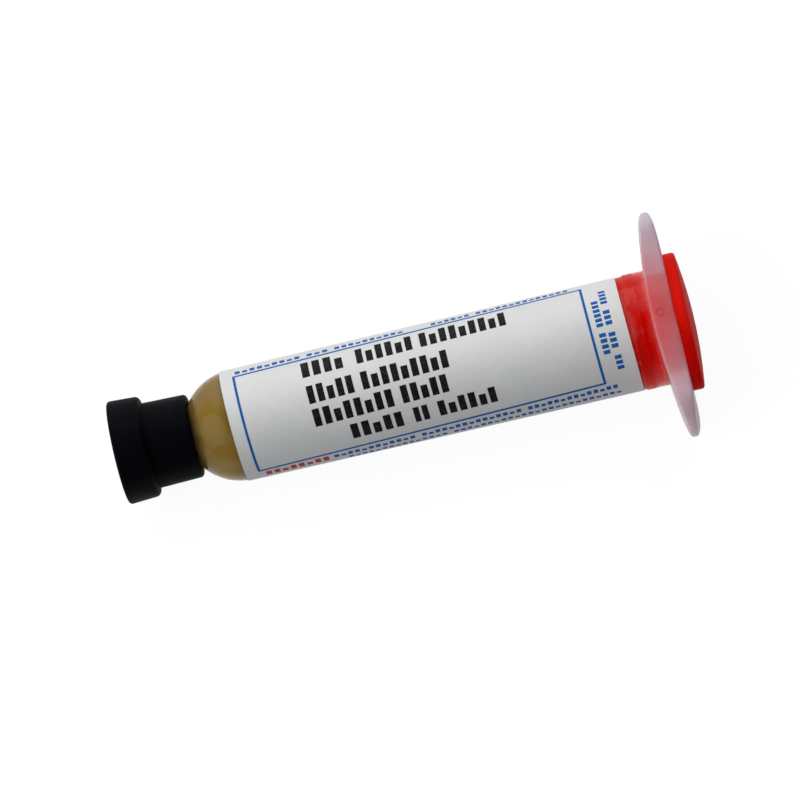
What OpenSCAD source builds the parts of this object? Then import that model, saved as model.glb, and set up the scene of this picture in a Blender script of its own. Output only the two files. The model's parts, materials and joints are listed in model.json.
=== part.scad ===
// Flux syringe: a 10 ml dispensing barrel with luer lock, wiper piston, plug and tip cap,
// lying on a table as it comes to rest, tip towards -X.

/* [Barrel] */
// Diameter of the bore
bore_d = 15.9; // [14:0.1:19]
// Wall at the domed front
wall_front = 1.01; // [0.8:0.01:2]
// Wall at the flange, thicker by the draft of the mould
wall_rear = 1.32; // [1.1:0.01:2.5]
// Straight length from the flange's rear face to the dome
barrel_l = 72.3; // [60:0.1:100]
// Lead-in at the mouth of the bore
mouth_lead = 0.35; // [0.1:0.05:0.6]
// Diameter of the passage through the tip
passage_d = 2.2; // [1.2:0.1:2.6]

/* [Finger flange] */
// Length over both wings
flange_l = 36.8; // [30:0.1:44]
// Width across the flats that the syringe lies on
flange_w = 23; // [22:0.1:27]
// Thickness in the middle
flange_t = 3.8; // [2.5:0.1:5]
// Thickness at the ends of the wings
flange_end_t = 1.7; // [1.5:0.1:2.2]
// Radius where a flat turns into a wing's end
flange_corner = 3; // [1.5:0.1:5]
// Radius of the moulded edges
flange_edge = 0.6; // [0.3:0.05:0.7]

/* [Luer lock] */
// Diameter of the male cone at its end
luer_d = 3.97; // [3.9:0.01:4.1]
// Length of the male cone from the floor of the collar
luer_l = 8.3; // [7.5:0.1:10]
// Growth of the cone's diameter for each mm of its length
luer_taper = 0.06; // [0.05:0.005:0.07]
// How far the cone stands out of the collar
luer_proud = 2.3; // [1.5:0.1:3]
// Outer diameter of the collar
collar_d = 10; // [9.8:0.1:12.4]
// Solid height between the dome and the floor of the collar
collar_floor = 0.6; // [0.3:0.1:1.5]
// Diameter at the root of the thread
thread_root_d = 8; // [7.8:0.1:8.6]
// Diameter over the crests of the thread
thread_crest_d = 7; // [6.9:0.1:7.3]
// Travel of the thread in one turn
thread_lead = 5; // [4:0.5:6]
// Number of ridges that run side by side
thread_starts = 2; // [1:1:3]

/* [Tip cap] */
// Wall of the skirt round the collar
cap_wall = 1.62; // [0.8:0.01:2]
// Step from the skirt out to the grip
cap_step = 1.5; // [0.8:0.1:3]
// How much narrower the skirt is at its rim than at the grip
skirt_draft = 0.2; // [0:0.05:0.4]
// How much narrower the grip is at the step than at its end
grip_draft = 0.3; // [0:0.05:0.6]
// Length of the wide grip
cap_grip_l = 5.3; // [3.5:0.05:5.6]
// Wall between the socket and the outside
cap_end_wall = 2; // [1.5:0.1:3]
// Depth of the dished end face
cap_dish = 0.7; // [0.3:0.1:1]
// Free space round the collar
cap_clear = 0.38; // [0.2:0.02:0.8]

/* [End cap] */
// How far the head stays inside the flange's flats
head_inset = 0.3; // [0.05:0.05:1]
// Thickness of the head at its edge
head_t = 1.85; // [1.2:0.05:3]
// Rise of the domed head in its middle
head_dome = 0.86; // [0.3:0.01:1.5]
// Depth of the plug in the bore
plug_l = 7; // [4:0.1:10]
// Wall of the plug
plug_wall = 1.3; // [0.9:0.1:2]
// Lead-in at the plug's front
plug_lead = 0.5; // [0.2:0.05:0.8]

/* [Piston and flux] */
// Bore length between the piston's shoulder and the dome, filled with flux
fill_l = 49; // [20:0.1:50]
// Length of the piston behind its shoulder
piston_l = 10; // [7:0.1:10.5]
// Wall of the piston
piston_wall = 1.6; // [1:0.1:2.5]
// Step from a wiper lip down to the piston's waist
lip_step = 0.6; // [0.3:0.05:1]
// Step from the bore to the rounded nose
nose_step = 0.35; // [0.2:0.05:0.8]

/* [Label] */
// Length of the paper label
label_l = 65.2; // [40:0.05:68]
// Thickness of the paper
label_t = 0.09; // [0.05:0.01:0.2]
// How far the label reaches past the start of the dome
label_over = 0.85; // [0:0.05:1.2]
// Angle by which it was put on askew
label_skew = 2.1; // [-3:0.1:3]
// Width of the overlap at the seam
label_seam = 3; // [1.5:0.1:6]
// Angle from the top round the far side to the seam
label_seam_at = 145; // [100:1:150]

/* [Fits] */
// Radial clearance of the plug in the bore
plug_fit = 0.04; // [0.02:0.01:0.1]
// Radial clearance of the wiper lips in the bore
lip_fit = 0.03; // [0.02:0.01:0.1]
// Radial clearance of the cap's socket on the cone
luer_fit = 0.03; // [0.02:0.01:0.1]
// Gap between faces that seat on each other
seat_gap = 0.02; // [0.01:0.01:0.1]

/* [Hidden] */
$fn = 96;

// Barrel, measured along its axis from the flange's rear face towards the tip
bore_r = bore_d / 2;
front_r = bore_r + wall_front;
rear_r = bore_r + wall_rear;
passage_r = passage_d / 2;
end_root = 0.5;
past = 1;
dome_s = barrel_l;
floor_s = dome_s + front_r + collar_floor;
tip_s = floor_s + luer_l;
collar_s = tip_s - luer_proud;
collar_r = collar_d / 2;
root_r = thread_root_d / 2;
crest_r = thread_crest_d / 2;
tip_r = luer_d / 2;

// Tip cap
cap_gap = 0.1;
cap_in_r = collar_r + cap_clear;
cap_r = cap_in_r + cap_wall;
grip_r = cap_r + cap_step;
cap_rim_s = dome_s + sqrt(pow(front_r + cap_gap, 2) - pow(cap_in_r, 2));
socket_end_s = tip_s + 2 * cap_gap;
cap_end_s = socket_end_s + cap_end_wall;
cap_roof_s = collar_s + 4 * cap_gap;
grip_s = cap_end_s - cap_grip_l;
stem_clear = 0.35;
stem_r = crest_r - stem_clear;
stem_s = floor_s + 2 * stem_clear;
dish_margin = 3;
dish_r = grip_r - dish_margin;
cap_edge = 0.5;
grip_edge = 0.8;
rim_edge = 0.6;

// Finger flange
wing = flange_l / 2;
flat = flange_w / 2;
flange_drop = flange_t - flange_end_t;
crown_r = (pow(wing, 2) + pow(flange_drop, 2)) / (2 * flange_drop);
corner_x = flat - flange_corner;
corner_y = sqrt(pow(wing - flange_corner, 2) - pow(corner_x, 2));
corner_a = atan2(corner_x, corner_y);
end_steps = 10;
corner_steps = 6;
flat_steps = 6;
edge_steps = 3;

// End cap
head_r = flat - head_inset;
head_edge = 0.5;
dome_r = (pow(head_r, 2) + pow(head_dome, 2)) / (2 * head_dome);
dome_c = dome_r - head_t - head_dome;
plug_r = bore_r - plug_fit;
plug_in_r = plug_r - plug_wall;

// Piston and flux
lip_r = bore_r - lip_fit;
waist_r = lip_r - lip_step;
nose_r = bore_r - nose_step;
hollow_r = nose_r - piston_wall;
shoulder_s = dome_s - fill_l;
piston_s = shoulder_s - piston_l;
lip_l = 0.7;
lip_slope = 1.6;
film = 0.03;

// Luer thread
ridge_root = 1.3;
ridge_crest = 0.5;
ridge_sunk = 0.15;
ridge_margin = 0.8;
ridge_travel = collar_s - floor_s - 2 * ridge_margin;
ridge_steps = 26;
ridge_fade = 4;

// Label
label_gap = 0.03;
label_front_s = dome_s + label_over;
label_rear_s = label_front_s - label_l;
label_reach = front_r * tan(abs(label_skew)) + 1;

// Rest: the flange's edge touches the table, and so does the cap's edge or the label's front
rest_flange_s = flange_t - flange_edge;
rest_flange_x = flat - flange_edge;
rest_cap_s = cap_end_s - cap_edge;
rest_cap_x = grip_r - cap_edge;
rest_label_x = outer_r(label_front_s) + label_gap + label_t;
rest_a = min(lie_a(rest_cap_s, rest_cap_x, cap_edge), lie_a(label_front_s, rest_label_x, 0));
rest_lift = rest_flange_x * cos(rest_a) + rest_flange_s * sin(rest_a) + flange_edge;
rest_front = rest_cap_s * cos(rest_a) + rest_cap_x * sin(rest_a) + cap_edge;
rest_rear = dome_r - dome_c * cos(rest_a);
rest_mid = (rest_front - rest_rear) / 2;

// Radius of the barrel's drafted outside and of the male cone at s
function outer_r(s) = rear_r + (front_r - rear_r) * s / dome_s;
function cone_r(s) = tip_r + (tip_s - s) * luer_taper / 2;

// Tilt at which the flange and a rounded edge of radius e at s and x both touch the table
function lie_a(s, x, e) = let (ds = s - rest_flange_s, dx = rest_flange_x - x)
    atan2(dx, ds) + asin((flange_edge - e) / norm([ds, dx]));

// Lays a piece that is built round its axis, tip up, on the table
module lay_down() {
    translate([rest_mid, 0, rest_lift])
        rotate([0, -90 - rest_a, 0])
            children();
}

// Half section of a drafted bar from s0 to s1, of radius r0 to r1, with edge radii e0 and e1
module bar(r0, r1, s0, s1, e0, e1) {
    polygon([[0, s0], [r0 - e0, s0], [r0, s0 + e0], [r1, s1 - e1], [r1 - e1, s1], [0, s1]]);
    translate([r0 - e0, s0 + e0]) circle(e0);
    translate([r1 - e1, s1 - e1]) circle(e1);
}

// Half section of a rounded end above s, rooted a little below it
module round_end(r, s) {
    intersection() {
        translate([0, s]) circle(r);
        translate([0, s - end_root]) square([r, r + end_root]);
    }
}

// One quarter of the flange's outline as [y, x, direction of its outward normal]
quarter = concat(
    [for (i = [0:end_steps]) let (a = corner_a * i / end_steps)
        [wing * cos(a), wing * sin(a), a]],
    [for (i = [1:corner_steps]) let (a = corner_a + (90 - corner_a) * i / corner_steps)
        [corner_y + flange_corner * cos(a), corner_x + flange_corner * sin(a), a]],
    [for (i = [1:flat_steps]) [corner_y * (1 - i / flat_steps), flat, 90]]);
quarter_n = len(quarter) - 1;
half_rim = concat(quarter,
    [for (i = [quarter_n - 1:-1:0]) [-quarter[i][0], quarter[i][1], 180 - quarter[i][2]]]);
half_n = len(half_rim) - 1;
rim = concat(half_rim,
    [for (i = [half_n - 1:-1:1]) [half_rim[i][0], -half_rim[i][1], -half_rim[i][2]]]);
rim_n = len(rim);

// Height of the crowned front face at y
function crown_s(y) = flange_t - crown_r + sqrt(pow(crown_r, 2) - pow(y, 2));
function rim_point(p, inset, s) = [p[1] - inset * sin(p[2]), p[0] - inset * cos(p[2]), s];

// Finger flange, lofted from its flat rear face over rounded edges to the crowned front
module flange() {
    rear_rings = [for (j = [0:edge_steps]) let (a = 90 * j / edge_steps)
        [for (p = rim) rim_point(p, flange_edge * (1 - sin(a)), flange_edge * (1 - cos(a)))]];
    front_rings = [for (j = [0:edge_steps]) let (a = 90 * j / edge_steps)
        [for (p = rim) rim_point(p, flange_edge * (1 - cos(a)),
            crown_s(p[0] - flange_edge * cos(p[2])) - flange_edge * (1 - sin(a)))]];
    rings = concat(rear_rings, front_rings);
    top = (len(rings) - 1) * rim_n;
    sides = [for (j = [0:len(rings) - 2]) for (i = [0:rim_n - 1]) let (k = (i + 1) % rim_n)
        [j * rim_n + i, j * rim_n + k, (j + 1) * rim_n + k, (j + 1) * rim_n + i]];
    rear = [[for (i = [rim_n - 1:-1:0]) i]];
    front = concat(
        [[top, top + 1, top + rim_n - 1]],
        [for (i = [1:half_n - 2]) [top + i, top + i + 1, top + rim_n - i - 1, top + rim_n - i]],
        [[top + half_n - 1, top + half_n, top + half_n + 1]]);
    polyhedron(points = [for (r = rings) each r], faces = concat(rear, sides, front), convexity = 4);
}

// One ridge of the luer thread, fading into the collar at both ends
module ridge() {
    function grow(i) = min(1, i / ridge_fade, (ridge_steps - i) / ridge_fade);
    sections = [for (i = [0:ridge_steps]) let (
            s = ridge_travel * i / ridge_steps,
            a = 360 * s / thread_lead,
            h = 0.05 + 0.95 * grow(i),
            r = root_r - (root_r - crest_r) * h,
            w = ridge_crest + (ridge_root - ridge_crest) * (1 - h))
        [for (p = [[root_r + ridge_sunk, -ridge_root / 2], [root_r + ridge_sunk, ridge_root / 2],
                [r, w / 2], [r, -w / 2]])
            [p[0] * cos(a), p[0] * sin(a), s + p[1]]]];
    last = 4 * ridge_steps;
    skin = [for (i = [0:ridge_steps - 1]) for (k = [0:3])
        [4 * i + k, 4 * i + (k + 1) % 4, 4 * (i + 1) + (k + 1) % 4, 4 * (i + 1) + k]];
    polyhedron(
        points = [for (section = sections) each section],
        faces = concat([[3, 2, 1, 0]], skin, [[last, last + 1, last + 2, last + 3]]),
        convexity = 6);
}

module thread() {
    for (start = [0:thread_starts - 1])
        rotate([0, 0, 360 * start / thread_starts])
            translate([0, 0, floor_s + ridge_margin])
                ridge();
}

// Everything inside the barrel's skin: bore, dome, passage, mouth and the ring round the cone
module barrel_space() {
    rotate_extrude() {
        translate([0, -past]) square([bore_r, dome_s + past]);
        round_end(bore_r, dome_s);
        square([passage_r, tip_s + past]);
        polygon([[0, -past], [bore_r + mouth_lead + past, -past], [bore_r, mouth_lead],
            [0, mouth_lead]]);
        polygon([[cone_r(floor_s), floor_s], [root_r, floor_s], [root_r, collar_s],
            [collar_r + past, collar_s], [collar_r + past, tip_s + past],
            [cone_r(tip_s + past), tip_s + past]]);
    }
}

module barrel() {
    color([0.87, 0.83, 0.78, 0.6]) lay_down() {
        difference() {
            union() {
                rotate_extrude() {
                    polygon([[0, 0], [rear_r, 0], [front_r, dome_s], [0, dome_s]]);
                    round_end(front_r, dome_s);
                    translate([0, dome_s]) square([collar_r, tip_s - dome_s]);
                }
                flange();
            }
            barrel_space();
        }
        thread();
    }
}

module label() {
    color("white") lay_down() intersection() {
        union() {
            rotate_extrude() label_section(0);
            rotate([0, 0, label_seam_at])
                rotate_extrude(angle = label_seam / rear_r * 180 / PI)
                    label_section(label_t);
        }
        translate([0, 0, label_rear_s + label_l / 2])
            rotate([label_skew, 0, 0])
                cube([3 * rear_r, 3 * rear_r, label_l * cos(label_skew)], center = true);
    }
}

// Half section of the paper on the drafted barrel, raised by a layer
module label_section(raise) {
    s0 = label_rear_s - label_reach;
    s1 = label_front_s + label_reach;
    inner = label_gap + raise;
    outer = inner + label_t;
    polygon([[outer_r(s0) + inner, s0], [outer_r(s0) + outer, s0],
        [outer_r(s1) + outer, s1], [outer_r(s1) + inner, s1]]);
}

module tip_cap() {
    color([0.08, 0.08, 0.09]) lay_down() rotate_extrude() difference() {
        union() {
            difference() {
                union() {
                    bar(cap_r - skirt_draft, cap_r, cap_rim_s, grip_s + grip_edge, rim_edge, cap_edge);
                    bar(grip_r - grip_draft, grip_r, grip_s, cap_end_s, grip_edge, cap_edge);
                }
                translate([0, cap_rim_s - past]) square([cap_in_r, cap_roof_s - cap_rim_s + past]);
            }
            translate([0, stem_s]) square([stem_r, cap_roof_s - stem_s + end_root]);
        }
        polygon([[0, stem_s - past], [cone_r(stem_s - past) + luer_fit, stem_s - past],
            [cone_r(socket_end_s) + luer_fit, socket_end_s], [0, socket_end_s]]);
        translate([0, cap_end_s - cap_dish]) square([dish_r, cap_dish + past]);
    }
}

module end_cap() {
    fillet_x = head_r - head_edge;
    fillet_s = dome_c - sqrt(pow(dome_r - head_edge, 2) - pow(fillet_x, 2));
    ray = [fillet_x, fillet_s - dome_c] / (dome_r - head_edge);
    color([0.85, 0.09, 0.05]) lay_down() rotate_extrude() {
        difference() {
            intersection() {
                translate([0, dome_c]) circle(dome_r, $fn = 720);
                translate([0, -head_t - head_dome]) square([head_r, head_t + head_dome - seat_gap]);
            }
            polygon([[fillet_x, fillet_s], [2 * head_r, fillet_s], [2 * head_r, -head_r],
                [fillet_x, fillet_s] + ray * head_r]);
            translate([0, -head_t / 3]) square([plug_in_r, head_t]);
        }
        translate([fillet_x, fillet_s]) circle(head_edge);
        polygon([[plug_in_r, -head_t / 3], [plug_r - plug_lead, -head_t / 3], [plug_r - plug_lead, 0],
            [plug_r, mouth_lead], [plug_r, plug_l - 2 * plug_lead],
            [plug_r - plug_lead, plug_l], [plug_in_r, plug_l]]);
    }
}

module piston() {
    color([0.93, 0.92, 0.88]) lay_down() rotate_extrude() difference() {
        union() {
            round_end(nose_r, shoulder_s);
            polygon([[0, piston_s], [lip_r, piston_s], [lip_r, piston_s + lip_l],
                [waist_r, piston_s + lip_slope], [waist_r, shoulder_s - lip_slope],
                [lip_r, shoulder_s - lip_l], [lip_r, shoulder_s], [0, shoulder_s]]);
        }
        translate([0, piston_s - past]) square([hollow_r, piston_l + past]);
        round_end(hollow_r, shoulder_s);
    }
}

module flux() {
    color([0.72, 0.42, 0.12]) lay_down() rotate_extrude() difference() {
        union() {
            translate([0, shoulder_s + film]) square([bore_r - film, fill_l - film]);
            round_end(bore_r - film, dome_s);
            translate([0, dome_s]) square([passage_r - film, tip_s - dome_s]);
        }
        round_end(nose_r + film, shoulder_s);
        translate([0, shoulder_s]) square([nose_r + film, film]);
    }
}

barrel();
label();
tip_cap();
end_cap();
piston();
flux();
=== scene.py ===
"""Flux syringe: the pieces, finishes and studio of a prefilled 10 ml dispensing syringe.

It lies on a table. Every piece is built in millimetres round its own axis, tip up, and then
laid in the frame.
"""

import json
from math import atan2, cos, hypot, pi, radians, sin, sqrt, tan
from types import SimpleNamespace

import bmesh
import bpy
from bpy.props import FloatProperty, FloatVectorProperty, IntProperty, PointerProperty
from mathutils import Matrix, Vector


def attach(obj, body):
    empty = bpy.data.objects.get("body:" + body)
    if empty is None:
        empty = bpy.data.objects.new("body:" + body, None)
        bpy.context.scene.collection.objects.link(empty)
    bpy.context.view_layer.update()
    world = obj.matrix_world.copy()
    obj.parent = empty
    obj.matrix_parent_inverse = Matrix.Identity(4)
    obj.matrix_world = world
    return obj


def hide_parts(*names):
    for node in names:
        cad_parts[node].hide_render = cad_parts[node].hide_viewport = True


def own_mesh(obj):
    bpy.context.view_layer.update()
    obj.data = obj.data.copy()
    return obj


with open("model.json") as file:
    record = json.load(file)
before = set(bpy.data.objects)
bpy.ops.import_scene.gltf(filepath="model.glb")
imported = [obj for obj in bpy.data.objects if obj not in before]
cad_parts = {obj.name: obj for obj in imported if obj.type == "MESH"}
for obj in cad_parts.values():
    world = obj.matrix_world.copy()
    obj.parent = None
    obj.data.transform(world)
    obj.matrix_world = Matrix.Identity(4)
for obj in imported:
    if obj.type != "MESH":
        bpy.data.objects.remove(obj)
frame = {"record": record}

bl_info = {
    "name": "Flux Syringe",
    "version": (1, 0, 0),
    "blender": (4, 5, 0),
    "location": "View3D > Sidebar > Syringe",
    "description": "Models a prefilled dispensing syringe with its caps, label, piston and flux",
    "category": "Object",
}

MM = 0.001
ROUND = 192             # faces round a turned piece
ARC = 24                # faces along a quarter of an arc
FILLET = 6              # faces across a rounded edge
SHARP = radians(32)     # an edge that turns more than this isn't smoothed
MERGE = 0.0005          # points this close, in millimetres, become one
TINY = 0.0001


# Settings

def linear(hex_value):
    """An sRGB hex colour as linear red, green and blue."""
    channels = [((hex_value >> shift) & 0xFF) / 255 for shift in (16, 8, 0)]
    return [c / 12.92 if c <= 0.04045 else ((c + 0.055) / 1.055) ** 2.4 for c in channels]


def length(name, millimetres, description):
    """A size, given in millimetres."""
    return FloatProperty(name=name, description=description, default=millimetres * MM,
                         precision=5, subtype="DISTANCE", unit="LENGTH")


def tint(name, hex_value, description):
    """A colour, given as sRGB hex."""
    return FloatVectorProperty(name=name, description=description, size=3,
                               default=linear(hex_value), min=0.0, max=1.0, subtype="COLOR")


def turn(name, angle, description):
    """An angle, given in degrees."""
    return FloatProperty(name=name, description=description, default=radians(angle),
                         subtype="ANGLE", unit="ROTATION")


def share(name, value, description):
    """A plain number."""
    return FloatProperty(name=name, description=description, default=value, min=0.0,
                         subtype="FACTOR")


class BarrelSettings(bpy.types.PropertyGroup):
    """Sizes and colour of the barrel moulding."""
    bore_d: length("Bore", 15.9, "Diameter of the bore")
    wall_front: length("Front wall", 1.01, "Wall at the domed front")
    wall_rear: length("Rear wall", 1.32, "Wall at the flange")
    barrel_l: length("Straight length", 72.3, "From the flange's rear face to the dome")
    mouth_lead: length("Mouth lead-in", 0.35, "Chamfer at the mouth of the bore")
    band_rise: length("Band", 0.15, "How far the band behind the label stands out")
    passage_d: length("Passage", 2.2, "Diameter of the passage through the tip")
    flange_l: length("Flange length", 36.8, "Over both wings")
    flange_w: length("Flange width", 23, "Across the flats")
    flange_t: length("Flange middle", 3.8, "Thickness in the middle")
    flange_end_t: length("Flange ends", 1.05, "Thickness at the ends of the wings")
    flange_rear_rise: length("Flange curve", 0.85, "How far the wings' ends curve forward")
    flange_corner: length("Flange corner", 3, "Radius where a flat turns into a wing's end")
    flange_edge: length("Flange edge", 0.45, "Radius of the moulded edges")
    luer_d: length("Luer cone", 3.97, "Diameter of the male cone at its end")
    luer_l: length("Luer length", 8.3, "From the floor of the collar")
    luer_taper: share("Luer taper", 0.06, "Growth of the cone's diameter with its length")
    luer_proud: length("Luer proud", 2.3, "How far the cone stands out of the collar")
    collar_d: length("Collar", 10, "Outer diameter of the collar")
    collar_floor: length("Collar floor", 0.6, "Solid height between dome and collar floor")
    thread_root_d: length("Thread root", 8, "Diameter at the root of the thread")
    thread_crest_d: length("Thread crest", 7, "Diameter over the crests")
    thread_lead: length("Thread lead", 5, "Travel of the thread in one turn")
    thread_starts: IntProperty(name="Thread starts", description="Ridges side by side",
                               default=2, min=1, max=3)
    wall: tint("Wall", 0xFAF8F4, "Natural polypropylene")
    # Pink-grey: the milkier, paler look of thick polypropylene, with a painted pink glow of the red
    # cap behind the flange
    thick: tint("Thick wall", 0xD6CAD3, "Natural polypropylene where it is thick")
    # Painted red glow: the red cap's light painted into the wall and the flange, where the plug
    # would shine through
    blush: tint("Blush", 0xE8140C, "Natural polypropylene with the red cap shining through")


class TipCapSettings(bpy.types.PropertyGroup):
    """Sizes and colour of the tip cap."""
    cap_wall: length("Skirt wall", 1.62, "Wall of the skirt round the collar")
    cap_step: length("Step", 1.5, "Step from the skirt out to the grip")
    skirt_draft: length("Skirt draft", 0.2, "How much narrower the skirt is at its rim")
    grip_draft: length("Grip draft", 0.3, "How much narrower the grip is at the step")
    cap_grip_l: length("Grip length", 5.3, "Length of the wide grip")
    cap_end_wall: length("End wall", 2, "Wall between the socket and the outside")
    cap_dish: length("Dish", 0.7, "Depth of the dished end face")
    cap_clear: length("Clearance", 0.38, "Free space round the collar")
    black: tint("Black", 0x040509, "Black polypropylene")


class EndCapSettings(bpy.types.PropertyGroup):
    """Sizes and colour of the end cap."""
    head_inset: length("Head inset", 0.3, "How far the head stays inside the flange's flats")
    head_t: length("Head edge", 1.85, "Thickness of the head at its edge")
    head_dome: length("Head dome", 0.86, "Rise of the domed head")
    plug_l: length("Plug", 7, "Depth of the plug in the bore")
    plug_wall: length("Plug wall", 1.3, "Wall of the plug")
    plug_lead: length("Plug lead-in", 0.5, "Lead-in at the plug's front")
    red: tint("Red", 0xFA180C, "Red polyethylene")


class PistonSettings(bpy.types.PropertyGroup):
    """Sizes and colours of the piston and the flux."""
    fill_l: length("Fill", 49, "Bore length between the piston's shoulder and the dome")
    piston_l: length("Piston", 10, "Length of the piston behind its shoulder")
    piston_wall: length("Piston wall", 1.6, "Wall of the piston")
    lip_step: length("Lip step", 0.6, "Step from a wiper lip down to the waist")
    nose_step: length("Nose step", 0.35, "Step from the bore to the rounded nose")
    natural: tint("Piston", 0xE9E6DC, "Natural polyethylene")
    amber: tint("Amber", 0x70570E, "Rosin flux gel")
    haze: tint("Haze", 0x867038, "Trapped air in the gel")


class LabelSettings(bpy.types.PropertyGroup):
    """Sizes and colours of the label and its print."""
    label_l: length("Length", 65.2, "Length of the paper label")
    label_t: length("Thickness", 0.09, "Thickness of the paper")
    label_over: length("Overhang", 0.85, "How far the label reaches past the start of the dome")
    label_skew: turn("Skew", 2.1, "Angle by which it was put on askew")
    label_seam: length("Seam", 3, "Width of the overlap at the seam")
    label_seam_at: turn("Seam place", 145, "Angle from the top round the far side to the seam")
    print_skew: turn("Print skew", 1.9, "Angle between the rows of print and the barrel")
    paper: tint("Paper", 0xDADBD9, "Coated paper")
    bare: tint("Bare paper", 0xD2D3D1, "Paper where the ink lies thin")
    ink_black: tint("Black ink", 0x100F0E, "Main rows")
    ink_blue: tint("Blue ink", 0x145CA6, "Frame and small print")
    ink_red: tint("Red ink", 0xC0392B, "Red field")


class StudioSettings(bpy.types.PropertyGroup):
    """Camera and light."""
    distance: length("Distance", 1043.5, "From the camera to the barrel")
    focal: FloatProperty(name="Lens", description="Focal length on a 36 mm sensor",
                         default=292.5, subtype="DISTANCE_CAMERA", unit="CAMERA")
    lean: turn("Lean", 11.26, "Camera's lean off the vertical towards -Y")
    yaw: turn("Yaw", 2.91, "Camera's lean towards the end cap")
    roll: turn("Roll", 13.13, "Turn of the picture")
    aim: length("Aim", 46, "Point on the axis that the camera looks at")
    aim_across: length("Aim along", -0.212, "Shift of the aim along the picture")
    aim_up: length("Aim across", -1.95, "Shift of the aim across the picture")
    sky: share("Sky", 0.14, "Level of the light from all round")
    fill: tint("Fill", 0xF3F5FF, "Colour of the light from all round")
    softbox: FloatProperty(name="Softbox", description="Power of the softbox beside the flange's "
                           "upper wing", default=10.0, subtype="POWER", unit="POWER")
    tip_lamp: FloatProperty(name="Tip lamp", description="Power of the round lamp over the tip",
                            default=7.4, subtype="POWER", unit="POWER")
    floor: tint("Floor", 0xA8ABB3, "Pale floor")
    floor_glow: share("Floor glow", 0.93, "Level of the floor as the camera sees it")


class SyringeSettings(bpy.types.PropertyGroup):
    """Everything a user would change."""
    barrel: PointerProperty(type=BarrelSettings)
    tip_cap: PointerProperty(type=TipCapSettings)
    end_cap: PointerProperty(type=EndCapSettings)
    piston: PointerProperty(type=PistonSettings)
    label: PointerProperty(type=LabelSettings)
    studio: PointerProperty(type=StudioSettings)


def measures():
    """All settings by name, lengths in millimetres, and the places along the axis from them."""
    # Small allowances that aren't settings
    m = SimpleNamespace(cap_gap=0.1, band_slope=0.3, label_gap=0.03, wet=0.02)
    for part in SyringeSettings.__annotations__:
        group = getattr(bpy.context.scene.syringe, part)
        for name in type(group).__annotations__:
            value = getattr(group, name)
            is_length = group.bl_rna.properties[name].unit == "LENGTH"
            setattr(m, name, value / MM if is_length else value)
    m.bore_r = m.bore_d / 2
    m.front_r = m.bore_r + m.wall_front
    m.rear_r = m.bore_r + m.wall_rear
    m.passage_r = m.passage_d / 2
    m.dome_s = m.barrel_l
    m.floor_s = m.dome_s + m.front_r + m.collar_floor
    m.tip_s = m.floor_s + m.luer_l
    m.collar_s = m.tip_s - m.luer_proud
    m.collar_r = m.collar_d / 2
    m.root_r = m.thread_root_d / 2
    m.crest_r = m.thread_crest_d / 2
    m.cap_in_r = m.collar_r + m.cap_clear
    m.cap_r = m.cap_in_r + m.cap_wall
    m.grip_r = m.cap_r + m.cap_step
    m.cap_rim_s = m.dome_s + sqrt((m.front_r + m.cap_gap) ** 2 - m.cap_in_r ** 2)
    m.socket_end_s = m.tip_s + 2 * m.cap_gap
    m.cap_end_s = m.socket_end_s + m.cap_end_wall
    m.cap_roof_s = m.collar_s + 4 * m.cap_gap
    m.grip_s = m.cap_end_s - m.cap_grip_l
    m.wing = m.flange_l / 2
    m.flat = m.flange_w / 2
    m.head_r = m.flat - m.head_inset
    m.shoulder_s = m.dome_s - m.fill_l
    m.nose_r = m.bore_r - m.nose_step
    m.label_front_s = m.dome_s + m.label_over
    m.plug_s = m.plug_l - 2 * m.plug_lead
    m.red_s = m.plug_s - 0.8        # from here on the wall carries a painted red glow of the plug
    m.hazy_s = m.plug_s - 0.2       # and from here on milky too
    m.band_s = (m.label_front_s - m.label_l - m.front_r * tan(abs(m.label_skew))
                - 2 * m.band_slope)
    return m


def outer_r(m, s):
    """Radius of the barrel's drafted outside at s."""
    return m.rear_r + (m.front_r - m.rear_r) * s / m.dome_s


def cone_r(m, s):
    """Radius of the male luer cone at s."""
    return m.luer_d / 2 + (m.tip_s - s) * m.luer_taper / 2


def axis_frame():
    """The matrix that lays what is built round Z, tip up, on the syringe's axis in the frame."""
    mounts = {mount["name"]: mount for mount in frame["record"]["mounts"]}
    tip = Vector(mounts["luer_lock"]["axis"]).normalized()
    side = Vector((0, 1, 0))
    up = side.cross(tip).normalized()
    place = Matrix((up, side, tip)).transposed().to_4x4()
    place.translation = Vector(mounts["rear_mouth"]["pos_m"])
    return place


# Modelling

def arc(centre_s, radius, start, end, steps):
    """Points of an arc about the axis point at centre_s, angles from the radial direction."""
    return [(radius * cos(a), centre_s + radius * sin(a), 0)
            for a in (start + (end - start) * i / steps for i in range(steps + 1))]


def draw_profile(bm, corners, closed):
    """A run of edges through (radius, s, rounding) corners, each rounding made by a bevel."""
    verts = [bm.verts.new((r, 0, s)) for r, s, _ in corners]
    pairs = list(zip(verts, verts[1:])) + ([(verts[-1], verts[0])] if closed else [])
    for pair in pairs:
        bm.edges.new(pair)
    rounded = [(vert, corner[2]) for vert, corner in zip(verts, corners) if corner[2]]
    for vert, radius in rounded:
        before, after = [(edge.other_vert(vert).co - vert.co).normalized()
                         for edge in vert.link_edges]
        tangent = radius * tan((pi - before.angle(after)) / 2)
        bmesh.ops.bevel(bm, geom=[vert], affect="VERTICES", offset=tangent,
                        offset_type="OFFSET", segments=FILLET, profile=0.5, material=-1)


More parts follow.
